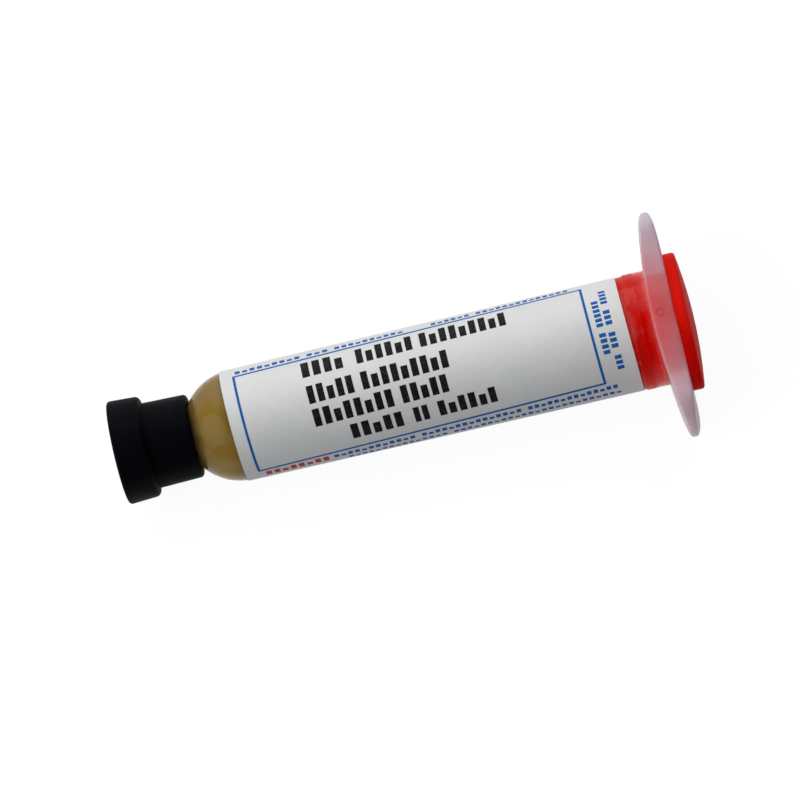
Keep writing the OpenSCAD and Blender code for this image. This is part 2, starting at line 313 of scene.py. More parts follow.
def turned(bm, corners, closed=False):
    """A solid turned round Z from a profile, closed where the profile ends on the axis."""
    draw_profile(bm, corners, closed)
    bmesh.ops.spin(bm, geom=bm.verts[:] + bm.edges[:], cent=(0, 0, 0), axis=(0, 0, 1),
                   angle=2 * pi, steps=ROUND, use_merge=True)
    bmesh.ops.remove_doubles(bm, verts=bm.verts[:], dist=MERGE)
    bmesh.ops.dissolve_degenerate(bm, edges=bm.edges[:], dist=TINY)
    bmesh.ops.recalc_face_normals(bm, faces=bm.faces[:])


def make(name, build, *arguments):
    """A mesh object from a function that fills a bmesh."""
    bm = bmesh.new()
    build(bm, *arguments)
    mesh = bpy.data.meshes.new(name)
    bm.to_mesh(mesh)
    bm.free()
    obj = bpy.data.objects.new(name, mesh)
    bpy.context.scene.collection.objects.link(obj)
    return obj


def settle(obj):
    """Turns an object's modifiers into its mesh."""
    result = bpy.data.meshes.new_from_object(
        obj.evaluated_get(bpy.context.evaluated_depsgraph_get()))
    obj.modifiers.clear()
    obj.data = result


def combine(obj, tool, operation):
    """Adds a tool shape to an object or cuts it out, and drops the tool."""
    cut = obj.modifiers.new(operation.title(), "BOOLEAN")
    cut.operation = operation
    cut.solver = "EXACT"
    cut.object = tool
    settle(obj)
    bpy.data.objects.remove(tool)


def dress(obj, body, node, *materials):
    """Lays a finished piece in the frame, smooths it, ties it to its body and hides its CAD node.
    """
    mesh = obj.data
    mesh.transform(axis_frame() @ Matrix.Scale(MM, 4))
    mesh.shade_smooth()
    mesh.set_sharp_from_angle(angle=SHARP)
    for material in materials:
        mesh.materials.append(material)
    even = obj.modifiers.new("Even shading", "WEIGHTED_NORMAL")
    even.keep_sharp = True
    settle(obj)
    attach(obj, body)
    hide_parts(node)


# Finishes

def per_mm(millimetres):
    """The scale that makes a pattern on Object coordinates repeat in so many millimetres."""
    return 1 / (millimetres * MM)


def add(tree, kind, inputs=(), **settings):
    """Adds a node with its settings; an input that is a socket is linked, any other is set."""
    node = tree.nodes.new(kind)
    for key, value in settings.items():
        setattr(node, key, value)
    for key, value in dict(inputs).items():
        if isinstance(value, bpy.types.NodeSocket):
            tree.links.new(value, node.inputs[key])
        else:
            node.inputs[key].default_value = value
    return node


def rgba(colour):
    return (*colour, 1.0)


def finished(build, *arguments, name=None):
    """A material named for the function that fills its node tree and gives its surface."""
    material = bpy.data.materials.new(name or build.__name__)
    material.use_nodes = True
    tree = material.node_tree
    tree.nodes.clear()
    add(tree, "ShaderNodeOutputMaterial", {"Surface": build(tree, *arguments)})
    return material


def axis_coordinates(tree):
    """Object coordinates moved to the syringe's own axis, in metres."""
    place = axis_frame()
    coordinates = add(tree, "ShaderNodeTexCoord")
    return add(tree, "ShaderNodeMapping", {
        "Vector": coordinates.outputs["Object"],
        "Location": place.translation,
        "Rotation": place.to_euler(),
    }, vector_type="TEXTURE").outputs["Vector"]


def patches(tree, vector, millimetres, pattern, edges, levels):
    """Soft patches of so many millimetres, eased from one level to the other between edges."""
    cloud = add(tree, "ShaderNodeTexNoise", {
        "Vector": vector, "Scale": per_mm(millimetres), **pattern})
    return add(tree, "ShaderNodeMapRange", {
        "Value": cloud.outputs["Fac"], "From Min": edges[0], "From Max": edges[1],
        "To Min": levels[0], "To Max": levels[1]},
        interpolation_type="SMOOTHSTEP").outputs["Result"]


def grained(tree, vector, millimetres, pattern, strength, depth):
    """The normal of a skin whose grain is so many millimetres wide, and so many deep."""
    grain = add(tree, "ShaderNodeTexNoise", {
        "Vector": vector, "Scale": per_mm(millimetres), **pattern})
    return add(tree, "ShaderNodeBump", {
        "Height": grain.outputs["Fac"], "Strength": strength,
        "Distance": depth * MM}).outputs["Normal"]


def natural_polypropylene_moulded(tree, m):
    """Glassy, faintly clouded wall, which turns milky or pale where its attributes say, and takes
    on a painted red glow of the red cap where they say so.
    """
    vector = axis_coordinates(tree)
    milky, blush, thick = (
        add(tree, "ShaderNodeAttribute", attribute_name=name).outputs["Fac"]
        for name in ("milky", "blush", "thick"))
    cloud = {"Detail": 3.0, "Roughness": 0.55}
    # Where the wall is thick it is milkier and paler, with a painted pink glow of the red cap
    # behind it
    pale = add(tree, "ShaderNodeMix", {
        "Factor": thick, "A": rgba(m.wall), "B": rgba(m.thick)}, data_type="RGBA")
    # Painted red glow of the red cap, in patches, over the flange and the strip round the plug's
    # front
    patchy_painted_glow = add(tree, "ShaderNodeMath", {
        0: blush, 1: patches(tree, vector, 6, cloud, (0.35, 0.65), (0.85, 1.1))},
        operation="MULTIPLY")
    colour = add(tree, "ShaderNodeMix", {
        "Factor": patchy_painted_glow.outputs["Value"], "A": pale.outputs["Result"], "B": rgba(m.blush)},
        data_type="RGBA")
    clear = add(tree, "ShaderNodeMath", {
        0: patches(tree, vector, 6, cloud, (0.3, 0.7), (0.95, 1.0)), 1: milky},
        operation="SUBTRACT")
    dull = add(tree, "ShaderNodeMath", {0: milky, 1: 0.5, 2: 0.13}, operation="MULTIPLY_ADD")
    # Polypropylene's IOR is 1.49. The real wall lies on gel and plug and mirrors little, so
    # both its IOR and its specular level are lower here.
    return add(tree, "ShaderNodeBsdfPrincipled", {
        "Base Color": colour.outputs["Result"],
        "Roughness": dull.outputs["Value"],
        "IOR": 1.22,
        "Specular IOR Level": 0.2,
        "Transmission Weight": clear.outputs["Value"],
        "Subsurface Weight": 1.0,
        "Subsurface Radius": (1.0, 0.95, 0.9),
        "Subsurface Scale": 2.5 * MM,
        "Normal": grained(tree, vector, 0.5, {"Detail": 2.0}, 0.12, 0.02),
    }).outputs["BSDF"]


def black_polypropylene_moulded(tree, m):
    """Deep black with a dull satin skin, whose spark grain takes nearly all of its gloss.

    The real grain is about 0.1 mm. It is drawn at 0.3 mm so that it shows.
    """
    vector = axis_coordinates(tree)
    return add(tree, "ShaderNodeBsdfPrincipled", {
        "Base Color": rgba(m.black),
        "Roughness": patches(tree, vector, 4, {"Detail": 2.0}, (0.3, 0.7), (0.52, 0.62)),
        "Specular IOR Level": 0.03,
        "Normal": grained(tree, vector, 0.3, {"Detail": 3.0}, 0.25, 0.02),
    }).outputs["BSDF"]


def red_polyethylene_moulded(tree, m):
    """Soft saturated red, waxy and hardly glossy, with the faint rings of a turned mould."""
    vector = axis_coordinates(tree)
    # A wave's rings repeat in pi / 10 units. Real ones are finer than the 2.83 mm drawn here.
    rings = add(tree, "ShaderNodeTexWave", {
        "Vector": vector, "Scale": per_mm(2.8274) * pi / 10, "Distortion": 0.4, "Detail": 1.0,
    }, wave_type="RINGS", rings_direction="Z")
    bump = add(tree, "ShaderNodeBump", {
        "Height": rings.outputs["Fac"], "Strength": 0.2, "Distance": 0.01 * MM})
    colour = add(tree, "ShaderNodeHueSaturation", {
        "Color": rgba(m.red),
        "Value": patches(tree, vector, 5, {"Detail": 2.0}, (0.3, 0.7), (0.94, 1.04))})
    return add(tree, "ShaderNodeBsdfPrincipled", {
        "Base Color": colour.outputs["Color"],
        "Roughness": 0.55,
        "IOR": 1.51,
        "Specular IOR Level": 0.03,
        "Subsurface Weight": 0.9,
        "Subsurface Radius": (1.0, 0.1, 0.06),
        "Subsurface Scale": 6.0 * MM,
        "Normal": bump.outputs["Normal"],
    }).outputs["BSDF"]


def natural_polyethylene_moulded(tree, m):
    """Waxy off-white of the wiper piston, which light enters a little way."""
    vector = axis_coordinates(tree)
    colour = add(tree, "ShaderNodeHueSaturation", {
        "Color": rgba(m.natural),
        "Value": patches(tree, vector, 3, {"Detail": 2.0}, (0.3, 0.7), (0.95, 1.02))})
    return add(tree, "ShaderNodeBsdfPrincipled", {
        "Base Color": colour.outputs["Color"],
        "Roughness": 0.38,
        "IOR": 1.51,
        "Subsurface Weight": 0.5,
        "Subsurface Radius": (1.0, 0.9, 0.8),
        "Subsurface Scale": 1.5 * MM,
    }).outputs["BSDF"]


def rosin_flux_gel(tree, m):
    """Wet amber-brown gel, with paler haze where air is trapped in it."""
    trapped_air = patches(tree, axis_coordinates(tree), 7,
                          {"Detail": 4.0, "Roughness": 0.6, "Distortion": 0.6},
                          (0.4, 0.8), (0.0, 0.45))
    colour = add(tree, "ShaderNodeMix", {
        "Factor": trapped_air, "A": rgba(m.amber), "B": rgba(m.haze)}, data_type="RGBA")
    return add(tree, "ShaderNodeBsdfPrincipled", {
        "Base Color": colour.outputs["Result"],
        "Roughness": 0.3,
        "Specular IOR Level": 0.05,
        "Subsurface Weight": 0.6,
        "Subsurface Radius": (1.0, 0.6, 0.15),
        "Subsurface Scale": 2.0 * MM,
    }).outputs["BSDF"]


def coated_paper(tree, m):
    """White coated stock: matt, faintly fibrous, greyer in broad soft patches.

    Real fibres are about 0.03 mm wide. They are drawn at 0.35 mm so that they show.
    """
    vector = axis_coordinates(tree)
    fibre_l, fibre = 0.35, {"Detail": 4.0, "Roughness": 0.6}
    edges, levels = (0.3, 0.7), (0.975, 1.01)
    value = add(tree, "ShaderNodeMath", {
        0: patches(tree, vector, fibre_l, fibre, edges, levels),
        1: patches(tree, vector, 9, {"Detail": 2.0}, edges, levels)}, operation="MULTIPLY")
    colour = add(tree, "ShaderNodeHueSaturation", {
        "Color": rgba(m.paper), "Value": value.outputs["Value"]})
    return add(tree, "ShaderNodeBsdfPrincipled", {
        "Base Color": colour.outputs["Color"],
        "Roughness": 0.5,
        "Specular IOR Level": 0.3,
        "Normal": grained(tree, vector, fibre_l, fibre, 0.15, 0.01),
    }).outputs["BSDF"]


def printing_ink(tree, ink, bare):
    """Flat matt ink with specks of bare paper, drawn at 0.25 mm so that they show."""
    thin = patches(tree, axis_coordinates(tree), 0.25, {"Detail": 2.0}, (0.55, 0.8), (0.0, 0.12))
    colour = add(tree, "ShaderNodeMix", {
        "Factor": thin, "A": rgba(ink), "B": rgba(bare)}, data_type="RGBA")
    return add(tree, "ShaderNodeBsdfPrincipled", {
        "Base Color": colour.outputs["Result"],
        "Roughness": 0.55,
        "Specular IOR Level": 0.1,
    }).outputs["BSDF"]


# Barrel

def tube_outside(bm, m):
    """Drafted tube, hemispherical front and collar, with rings where its finish changes."""
    inside_flange, past_flange, fillet, pitch, steps = 0.5, 0.3, 0.2, 5, 40
    meet = atan2(sqrt(m.front_r ** 2 - m.collar_r ** 2), m.collar_r)
    after_band = m.band_s + m.band_slope
    band_r = m.rear_r + m.band_rise
    corners = [(0, inside_flange, 0), (band_r, inside_flange, 0),
               (band_r, m.flange_t + past_flange, 0), (band_r, m.red_s, 0),
               (band_r, m.hazy_s, 0), (band_r, m.band_s, fillet),
               (outer_r(m, after_band), after_band, fillet)]
    corners += [(outer_r(m, s), s, 0) for s in range(round(m.plug_l) + 2, int(m.dome_s), pitch)]
    corners += arc(m.dome_s, m.front_r, 0, meet, steps)
    corners += [(m.collar_r, m.tip_s, 0), (0, m.tip_s, 0)]
    turned(bm, corners)


def inner_space(bm, m):
    """Mouth, bore, dome and passage, as one turned cutter."""
    past, chamfer, over, rings, steps = 1, 0.3, 0.05, 6, 32
    lead = m.bore_r + m.mouth_lead
    meet = atan2(sqrt(m.bore_r ** 2 - m.passage_r ** 2), m.passage_r)
    corners = [(0, -past, 0), (lead + past, -past, 0), (m.bore_r, m.mouth_lead, 0)]
    corners += [(m.bore_r, m.dome_s * i / rings, 0) for i in range(1, rings)]
    corners += arc(m.dome_s, m.bore_r, 0, meet, steps)
    corners += [(m.passage_r, m.tip_s - chamfer, 0), (m.passage_r + chamfer, m.tip_s + over, 0),
                (m.passage_r + chamfer, m.tip_s + past, 0), (0, m.tip_s + past, 0)]
    turned(bm, corners)


def collar_ring(bm, m):
    """The ring between the male cone and its collar, with rounded ends, as a turned cutter."""
    past, edge = 1, 0.25
    end_r = cone_r(m, m.tip_s)
    turned(bm, [
        (cone_r(m, m.floor_s), m.floor_s, edge), (m.root_r, m.floor_s, edge),
        (m.root_r, m.collar_s, edge), (m.collar_r + past, m.collar_s, 0),
        (m.collar_r + past, m.tip_s + past, 0), (end_r - edge, m.tip_s + past, 0),
        (end_r - edge, m.tip_s, 0), (end_r, m.tip_s - edge, 0)], closed=True)


def finger_flange(bm, m):
    """A disc clipped to two flats, cut across so that its faces can follow the crown."""
    wing_steps, corner_steps, cuts, rim_angle = 40, 10, 46, 1
    corner_x = m.flat - m.flange_corner
    corner_y = sqrt((m.wing - m.flange_corner) ** 2 - corner_x ** 2)
    wing_angle = atan2(corner_x, corner_y)
    start = bm.verts.new((m.wing * sin(-wing_angle), m.wing * cos(-wing_angle), 0))
    bmesh.ops.spin(bm, geom=[start], cent=(0, 0, 0), axis=(0, 0, 1),
                   angle=-2 * wing_angle, steps=wing_steps)
    for side in (-1, 1):
        end = (max if side > 0 else min)(bm.verts, key=lambda vert: vert.co.x)
        bmesh.ops.spin(bm, geom=[end], cent=(side * corner_x, corner_y, 0), axis=(0, 0, 1),
                       angle=side * (wing_angle - pi / 2), steps=corner_steps)
    half = bm.verts[:] + bm.edges[:]
    twin = bmesh.ops.duplicate(bm, geom=half)["geom"]
    bmesh.ops.rotate(bm, verts=[g for g in twin if isinstance(g, bmesh.types.BMVert)],
                     cent=(0, 0, 0), matrix=Matrix.Rotation(pi, 3, "Z"))
    for side in (-1, 1):
        loose = [vert for vert in bm.verts if len(vert.link_edges) == 1 and side * vert.co.x > 0]
        bm.edges.new(loose)
    face = bmesh.ops.contextual_create(bm, geom=bm.edges[:])["faces"][0]
    front = bmesh.ops.extrude_face_region(bm, geom=[face], use_keep_orig=True)["geom"]
    bmesh.ops.translate(bm, verts=[g for g in front if isinstance(g, bmesh.types.BMVert)],
                        vec=(0, 0, m.flange_t))
    for i in range(1, cuts):
        y = m.wing * (2 * i / cuts - 1)
        bmesh.ops.bisect_plane(bm, geom=bm.verts[:] + bm.edges[:] + bm.faces[:], dist=TINY,
                               plane_co=(0, y, 0), plane_no=(0, 1, 0))
    drop = m.flange_t - m.flange_end_t - m.flange_rear_rise
    crown = (m.wing ** 2 + drop ** 2) / (2 * drop)
    for vert in bm.verts:
        if vert.co.z > m.flange_t / 2:
            vert.co.z = m.flange_t - crown + sqrt(crown ** 2 - vert.co.y ** 2)
        else:
            outward = max(0, abs(vert.co.y) - m.flat) / (m.wing - m.flat)
            vert.co.z = m.flange_rear_rise * outward ** 2
    bmesh.ops.recalc_face_normals(bm, faces=bm.faces[:])
    rims = [edge for edge in bm.edges
            if edge.is_manifold and edge.calc_face_angle() > rim_angle]
    bmesh.ops.bevel(bm, geom=rims, affect="EDGES", offset=m.flange_edge,
                    offset_type="OFFSET", segments=FILLET, profile=0.5, material=-1,
                    clamp_overlap=False)


def thread_ridge(bm, m, start):
    """One ridge of the luer thread, which fades into the collar at both ends."""
    margin, base, crest, sunk, lowest = 0.8, 1.3, 0.5, 0.15, 0.05
    steps, fade = 72, 10
    travel = m.collar_s - m.floor_s - 2 * margin
    section = [(m.root_r + sunk, -base / 2), (m.root_r + sunk, base / 2),
               (m.crest_r, crest / 2), (m.crest_r, -crest / 2)]
    verts = [bm.verts.new((r, 0, m.floor_s + margin + s)) for r, s in section]
    for i, vert in enumerate(verts):
        bm.edges.new((vert, verts[(i + 1) % len(verts)]))
    bmesh.ops.spin(bm, geom=bm.verts[:] + bm.edges[:], cent=(0, 0, 0), axis=(0, 0, 1),
                   angle=2 * pi * travel / m.thread_lead, steps=steps,
                   dvec=(0, 0, travel / steps))
    for vert in bm.verts:
        if hypot(vert.co.x, vert.co.y) < m.root_r:
            turns = atan2(vert.co.y, vert.co.x) % (2 * pi) / (2 * pi)
            step = turns * m.thread_lead / travel * steps
            high = lowest + (1 - lowest) * min(1, step / fade, (steps - step) / fade)
            away = (m.root_r - (m.root_r - m.crest_r) * high) / m.crest_r
            vert.co.x *= away
            vert.co.y *= away
    bmesh.ops.holes_fill(bm, edges=[edge for edge in bm.edges if edge.is_boundary])
    bmesh.ops.recalc_face_normals(bm, faces=bm.faces[:])
    bmesh.ops.rotate(bm, verts=bm.verts[:], cent=(0, 0, 0),
                     matrix=Matrix.Rotation(2 * pi * start / m.thread_starts, 3, "Z"))


def gate_groove(bm, m):
    """The ring that the mould's gate leaves on the flange's upper flat."""
    ring_r, groove_r, place_s, segments, steps = 0.62, 0.16, 2.2, 12, 40
    ring = bmesh.ops.create_circle(bm, radius=groove_r, segments=segments,
                                   matrix=Matrix.Translation((ring_r, 0, 0))
                                   @ Matrix.Rotation(pi / 2, 4, "X"))
    bmesh.ops.spin(bm, geom=ring["verts"] + bm.edges[:], cent=(0, 0, 0), axis=(0, 0, 1),
                   angle=2 * pi, steps=steps, use_merge=True)
    bmesh.ops.recalc_face_normals(bm, faces=bm.faces[:])
    bmesh.ops.rotate(bm, verts=bm.verts[:], cent=(0, 0, 0), matrix=Matrix.Rotation(pi / 2, 3, "Y"))
    bmesh.ops.translate(bm, verts=bm.verts[:], vec=(m.flat, 0, place_s))


def mark_walls(mesh, m):
    """Says at each point how milky and thick the wall looks, and how much painted red glow of
    the red cap it carries, for its finish.

    The flange is milky and thick, and carries a painted red glow of the red cap, strongest next
    to the bore. In front of it the plug shows through the clear wall. Where the plug tapers off
    and past its end, the plug's glow is painted onto the wall itself.
    """
    past_flange, past_plug, near_ring, wall_deep = 0.2, 3, 0.1, -1
    haze, most_haze = 0.35, 0.5
    # Levels of the painted red glow of the plug: in the flange, fading outward, and on the strip
    # round the plug's front
    red, most_painted_glow, painted_glow_loss, strip_painted_glow = 0.78, 0.85, 0.088, 1.1
    marks = {"milky": [], "blush": [], "thick": []}
    for vert in mesh.vertices:
        s = vert.co.z
        away = hypot(vert.co.x, vert.co.y) - m.rear_r
        milky = blush = thick = 0.0
        if s < m.flange_t + past_flange:
            milky = min(most_haze, max(0, haze + away / 2))
            blush = max(0, min(most_painted_glow, red - painted_glow_loss * away))
            thick = 1.0
        elif m.red_s - near_ring < s < m.plug_l + past_plug and away > wall_deep:
            milky = most_haze if s > m.hazy_s - near_ring else 0.0
            blush = strip_painted_glow
        for values, value in zip(marks.values(), (milky, blush, thick)):
            values.append(value)
    for name, values in marks.items():
        mesh.attributes.new(name, "FLOAT", "POINT").data.foreach_set("value", values)


class SYRINGE_OT_barrel(bpy.types.Operator):
    """Model the barrel with its finger flange and luer lock"""
    bl_idname = "syringe.barrel"
    bl_label = "Barrel"

    def execute(self, context):
        m = measures()
        barrel = make("barrel_moulding", tube_outside, m)
        combine(barrel, make("flange", finger_flange, m), "UNION")
        combine(barrel, make("space", inner_space, m), "DIFFERENCE")
        combine(barrel, make("ring", collar_ring, m), "DIFFERENCE")
        for start in range(m.thread_starts):
            combine(barrel, make("ridge", thread_ridge, m, start), "UNION")
        combine(barrel, make("gate", gate_groove, m), "DIFFERENCE")
        mark_walls(barrel.data, m)
        dress(barrel, "barrel", "barrel", finished(natural_polypropylene_moulded, m))
        return {"FINISHED"}


# Tip cap

def tip_cap_shape(bm, m):
    """Grip, skirt, roof and stem with the luer socket, as one turned solid."""
    clear, fit, dish_margin = 0.35, 0.03, 3
    stem_r = m.crest_r - clear
    stem_s = m.floor_s + 2 * clear
    dish_r = m.grip_r - dish_margin
    dish_s = m.cap_end_s - m.cap_dish
    turned(bm, [
        (0, dish_s, 0), (dish_r, dish_s, 0.25), (dish_r, m.cap_end_s, 0.15),
        (m.grip_r, m.cap_end_s, 0.5), (m.grip_r - m.grip_draft, m.grip_s, 0.8),
        (m.cap_r, m.grip_s, 0.2), (m.cap_r - m.skirt_draft, m.cap_rim_s, 0.6),
        (m.cap_in_r, m.cap_rim_s, 0.12), (m.cap_in_r, m.cap_roof_s, 0.2),
        (stem_r, m.cap_roof_s, 0.2), (stem_r, stem_s, 0.1),
        (cone_r(m, stem_s) + fit, stem_s, 0.1),
        (cone_r(m, m.socket_end_s) + fit, m.socket_end_s, 0), (0, m.socket_end_s, 0)])


class SYRINGE_OT_tip_cap(bpy.types.Operator):
    """Model the black cap that closes the luer lock"""
    bl_idname = "syringe.tip_cap"
    bl_label = "Tip cap"

    def execute(self, context):
        m = measures()
        cap = make("tip_cap_moulding", tip_cap_shape, m)
        dress(cap, "tip_cap", "tip_cap", finished(black_polypropylene_moulded, m))
        return {"FINISHED"}


# End cap

def end_cap_shape(bm, m):
    """Domed head and hollow plug, as one turned solid that wets the bore's wall."""
    seat, edge = 0.02, 0.5
    plug_r = m.bore_r + m.wet
    plug_in_r = m.bore_r - m.plug_wall
    dome = (m.head_r ** 2 + m.head_dome ** 2) / (2 * m.head_dome)
    middle = dome - m.head_t - m.head_dome
    flank = atan2(m.head_r, dome - m.head_dome)
    corners = [(dome * sin(flank * i / ARC), middle - dome * cos(flank * i / ARC), 0)
               for i in range(ARC + 1)]
    corners[-1] = (m.head_r, -m.head_t, edge)
    corners += [(m.head_r, -seat, 0.15), (m.bore_r + m.mouth_lead, -seat, 0),
                (plug_r, m.mouth_lead, 0), (plug_r, m.plug_s, 0.3),
                (plug_r - m.plug_lead, m.plug_l, 0.2), (plug_in_r, m.plug_l, 0.2),
                (plug_in_r, -m.head_t / 3, 0.4), (0, -m.head_t / 3, 0)]
    turned(bm, corners)


class SYRINGE_OT_end_cap(bpy.types.Operator):
    """Model the red cap that plugs the barrel's mouth"""
    bl_idname = "syringe.end_cap"
    bl_label = "End cap"

    def execute(self, context):
        m = measures()
        cap = make("end_cap_moulding", end_cap_shape, m)
        dress(cap, "end_cap", "end_cap", finished(red_polyethylene_moulded, m))
        return {"FINISHED"}


# Piston and flux

def piston_shape(bm, m):
    """Wiper lips, waist and rounded nose over a hollow, as one turned solid."""
    fit, lip_l, slope = 0.03, 0.7, 1.6
    lip_r = m.bore_r - fit
    waist_r = lip_r - m.lip_step
    hollow_r = m.nose_r - m.piston_wall
    rear = m.shoulder_s - m.piston_l
    corners = arc(m.shoulder_s, m.nose_r, pi / 2, 0, ARC)
    corners += [(lip_r, m.shoulder_s, 0.1), (lip_r, m.shoulder_s - lip_l, 0),
                (waist_r, m.shoulder_s - slope, 0.3), (waist_r, rear + slope, 0.3),
                (lip_r, rear + lip_l, 0), (lip_r, rear, 0.15), (hollow_r, rear, 0.15)]
    corners += arc(m.shoulder_s, hollow_r, 0, pi / 2, ARC)
    turned(bm, corners)


def flux_column_shape(bm, m):
    """The fill between the piston's nose and the dome."""
    film, start, rings = 0.03, 1, 8
    wet_r = m.bore_r + m.wet
    corners = arc(m.shoulder_s, m.nose_r + film, pi / 2, 0, ARC)
    corners += [(m.bore_r - film, m.shoulder_s + film, 0)]
    corners += [(wet_r, m.shoulder_s + start + (m.fill_l - start) * i / rings, 0)
                for i in range(rings + 1)]
    corners += arc(m.dome_s, m.nose_r, 0, pi / 2, ARC)
    turned(bm, corners)


def flux_front_shape(bm, m):
    """The flux that stays in the dome and the passage, open behind for the piston's nose."""
    nose_play, shoulder_play, short, steps = 0.04, 0.05, 0.1, 32
    wet_r = m.bore_r + m.wet
    hollow_r = m.nose_r + nose_play
    rear = m.dome_s + shoulder_play
    meet = atan2(sqrt(wet_r ** 2 - m.passage_r ** 2), m.passage_r)
    corners = arc(m.dome_s, hollow_r, pi / 2, 0, ARC)
    corners += [(hollow_r, rear, 0), (wet_r, rear, 0)]
    corners += arc(m.dome_s, wet_r, 0, meet, steps)
    corners += [(m.passage_r, m.tip_s - short, 0), (0, m.tip_s - short, 0)]
    turned(bm, corners)


class SYRINGE_OT_piston(bpy.types.Operator):
    """Model the wiper piston"""
    bl_idname = "syringe.piston"
    bl_label = "Piston"

    def execute(self, context):
        m = measures()
        piston = make("piston_moulding", piston_shape, m)
        dress(piston, "piston", "piston", finished(natural_polyethylene_moulded, m))
        return {"FINISHED"}


class SYRINGE_OT_flux(bpy.types.Operator):
    """Model the flux: a column in front of the piston, and the front in the dome and passage"""
    bl_idname = "syringe.flux"
    bl_label = "Flux"

    def execute(self, context):
        m = measures()
        gel = finished(rosin_flux_gel, m)
        column = make("flux_column", flux_column_shape, m)
        dress(column, "barrel", "flux", gel)
        front = make("flux_front", flux_front_shape, m)
        dress(front, "barrel", "flux", gel)
        place = axis_frame()
        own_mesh(column)
        return {"FINISHED"}


# Label

def paper_sheet(bm, m, start, angle, raise_by):
    """Paper bent round the barrel from one angle on, cut askew at both ends."""
    rings, fewest_steps = 24, 4
    places = [m.label_front_s - m.label_l * i / rings for i in range(rings + 1)]
    draw_profile(bm, [(outer_r(m, s) + raise_by, s, 0) for s in places], closed=False)
    bmesh.ops.rotate(bm, verts=bm.verts[:], cent=(0, 0, 0), matrix=Matrix.Rotation(start, 3, "Z"))
    steps = max(fewest_steps, round(ROUND * angle / (2 * pi)))
    bmesh.ops.spin(bm, geom=bm.verts[:] + bm.edges[:], cent=(0, 0, 0), axis=(0, 0, 1),
                   angle=angle, steps=steps)
    askew = Matrix.Identity(4)
    askew[2][1] = tan(m.label_skew)
    bmesh.ops.transform(bm, matrix=askew, verts=bm.verts[:])
    bmesh.ops.recalc_face_normals(bm, faces=bm.faces[:])
    face = bm.faces[:][0]
    if face.normal.dot(face.calc_center_median() * Vector((1, 1, 0))) < 0:
        bmesh.ops.reverse_faces(bm, faces=bm.faces[:])
    bmesh.ops.solidify(bm, geom=bm.faces[:], thickness=-m.label_t)
    bmesh.ops.recalc_face_normals(bm, faces=bm.faces[:])


def paper_label(bm, m):
    """The label: once round the barrel, and a lap on top of it at the seam."""
    lap = m.label_seam / m.rear_r
    over_seam = 1.02
    paper_sheet(bm, m, m.label_seam_at + lap, 2 * pi - lap, m.label_gap)
    other = bmesh.new()
    paper_sheet(other, m, m.label_seam_at, lap * over_seam, m.label_gap + m.label_t)
    lap_mesh = bpy.data.meshes.new("lap")
    other.to_mesh(lap_mesh)
    other.free()
    bm.from_mesh(lap_mesh)
    bpy.data.meshes.remove(lap_mesh)


def ink_field(bm, m, ink, left, right, low, high):
    """A printed rectangle, given on the flat sheet from its tip end and centre line, wrapped on."""
    face_l, face_w, ink_t = 4, 0.3, 0.012
    wide, tall = right - left, high - low
    across = max(1, round(wide / face_l))
    around = max(1, round(tall / face_w))
    grid = bmesh.ops.create_grid(bm, x_segments=across, y_segments=around, size=0.5)
    for vert in grid["verts"]:
        along = left + wide * (vert.co.x + 0.5)
        off = low + tall * (vert.co.y + 0.5)
        s = m.label_front_s - along * cos(m.print_skew) + off * sin(m.print_skew)
        paper_r = outer_r(m, s) + m.label_gap + m.label_t
        angle = (along * sin(m.print_skew) + off * cos(m.print_skew)) / paper_r
        ink_r = paper_r + ink_t
        vert.co = (ink_r * cos(angle), ink_r * sin(angle), s)
    for face in {face for vert in grid["verts"] for face in vert.link_faces}:
        face.material_index = ink
        face.normal_update()
        if face.normal.dot(face.verts[0].co * Vector((1, 1, 0))) < 0:
            face.normal_flip()


def ink_words(bm, m, ink, left, right, low, high, count):
    """A word as a run of upright blocks, some tall and some low, so that nothing can be read."""
    begin, end, low_block = 0.12, 0.8, 0.72
    pitch = (right - left) / count
    for i in range(count):
        tall = (i * 7 + count) % 3 != 1 or i == 0
        top = high if tall else low + (high - low) * low_block
        ink_field(bm, m, ink, left + pitch * (i + begin), left + pitch * (i + end), low, top)


# The print on the flat sheet, in millimetres from its tip end and its centre line
BLACK, BLUE, RED = 1, 2, 3
FRAME = (2.25, 59.4, -11.45, 7.25)      # left, right, low, high
LINE = 0.42
ROWS = (                                # ink, low, high, and left, right and blocks of its words
    (BLACK, 3.0, 6.2, (12.9, 20.2, 4), (21.9, 31.6, 6), (32.4, 47.0, 9)),
    (BLACK, -1.6, 1.4, (13.0, 21.0, 5), (21.9, 36.6, 9)),
    (BLACK, -5.4, -2.5, (13.0, 26.6, 8), (27.5, 35.6, 5)),
    (BLACK, -9.3, -6.5, (18.2, 27.2, 5), (28.6, 31.4, 2), (32.6, 42.6, 6)),
    (BLUE, 7.9, 8.9, (2.4, 13.5, 9), (14.3, 18.1, 3), (18.9, 30.5, 10), (34.8, 41.4, 6),
     (42.2, 57.6, 14)),
    (RED, -13.8, -12.2, (3.0, 13.8, 8)),
    (BLUE, -13.3, -12.3, (14.3, 28.0, 12), (28.8, 45.5, 15), (46.3, 61.4, 14)),
    (BLUE, -15.2, -14.2, (16.5, 33.0, 15), (33.8, 61.7, 25)),
)
COLUMNS = (                             # left, right, and low, high and blocks of its words
    (60.5, 61.6, (-6.3, -2.6, 4), (-1.8, 3.2, 6)),
    (62.0, 63.1, (-9.4, -6.6, 3), (-5.6, -2.8, 3), (-1.8, 1.0, 3), (2.0, 5.2, 4)),
)


